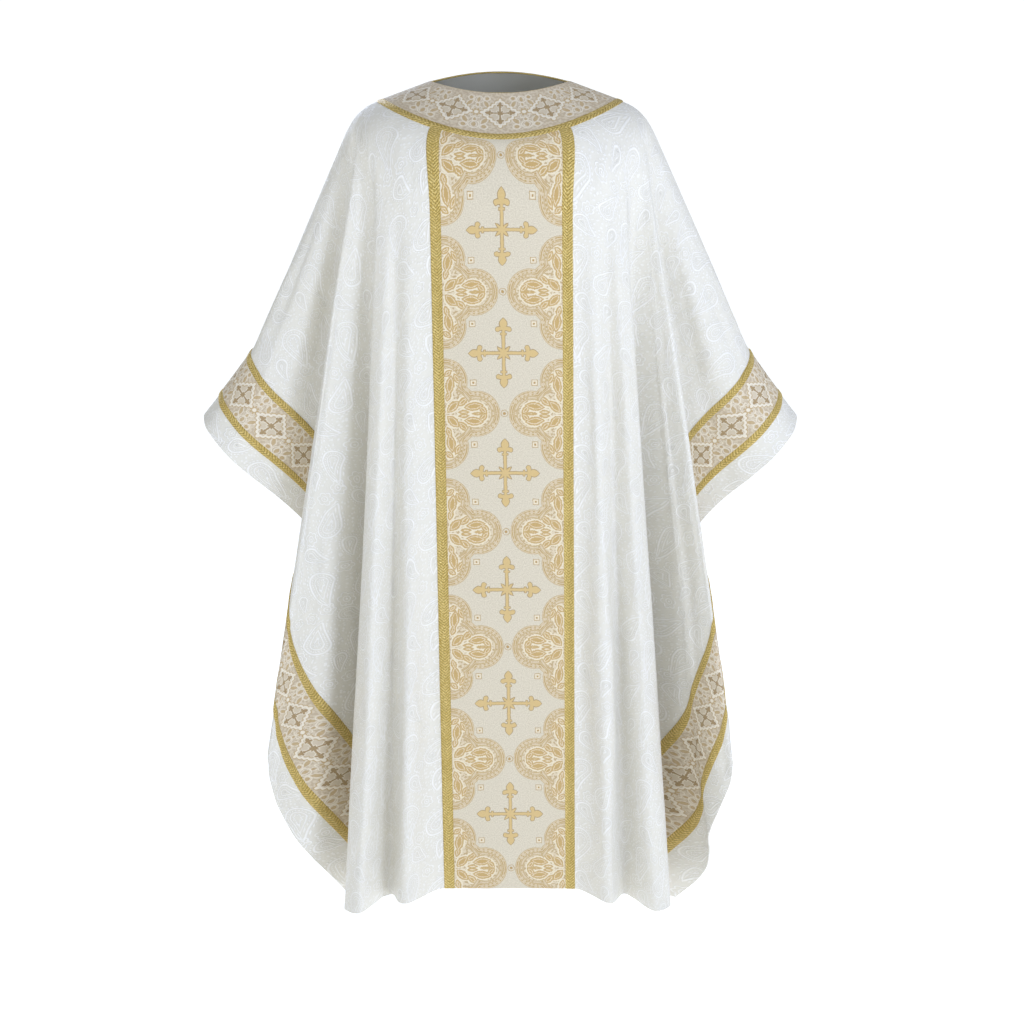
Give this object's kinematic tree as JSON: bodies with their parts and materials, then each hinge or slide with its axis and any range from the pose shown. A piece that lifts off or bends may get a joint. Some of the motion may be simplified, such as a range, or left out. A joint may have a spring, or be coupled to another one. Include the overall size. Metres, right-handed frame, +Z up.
{
  "type": "monastic chasuble",
  "caption": "Wide poncho-cut vestment of cream damask, hanging hollow as worn, with a round yoke, a centre orphrey and brocade side bands edged in gold braid.",
  "frame": {"origin": "mid-way between the two shoulder points of the neck edge, where the wearer's shoulders hold the vestment", "axes": "+Z up, the front faces -Y, +X towards the wearer's left"},
  "size_m": [0.9991, 0.4023, 1.4267],
  "materials": {
    "damask": "ivory satin damask, tone-on-tone scrolls",
    "orphrey_brocade": "off-white brocade with crosses in pale gold",
    "yoke_brocade": "tan brocade with cream outlines and small crosses",
    "braid": "twilled gold braid with a soft metallic glint"
  },
  "bodies": {
    "root": {"front_panel": "damask", "front_yoke": "yoke_brocade", "front_yoke_braid": "braid", "front_orphrey": "orphrey_brocade", "front_orphrey_braid_left": "braid", "front_band_left": "yoke_brocade", "front_band_braid_in_left": "braid", "front_band_braid_out_left": "braid", "front_orphrey_braid_right": "braid", "front_band_right": "yoke_brocade", "front_band_braid_in_right": "braid", "front_band_braid_out_right": "braid", "back_panel": "damask", "back_yoke": "yoke_brocade", "back_yoke_braid": "braid", "back_orphrey": "orphrey_brocade", "back_orphrey_braid_left": "braid", "back_band_left": "yoke_brocade", "back_band_braid_in_left": "braid", "back_band_braid_out_left": "braid", "back_orphrey_braid_right": "braid", "back_band_right": "yoke_brocade", "back_band_braid_in_right": "braid", "back_band_braid_out_right": "braid"}
  },
  "joints": []
}
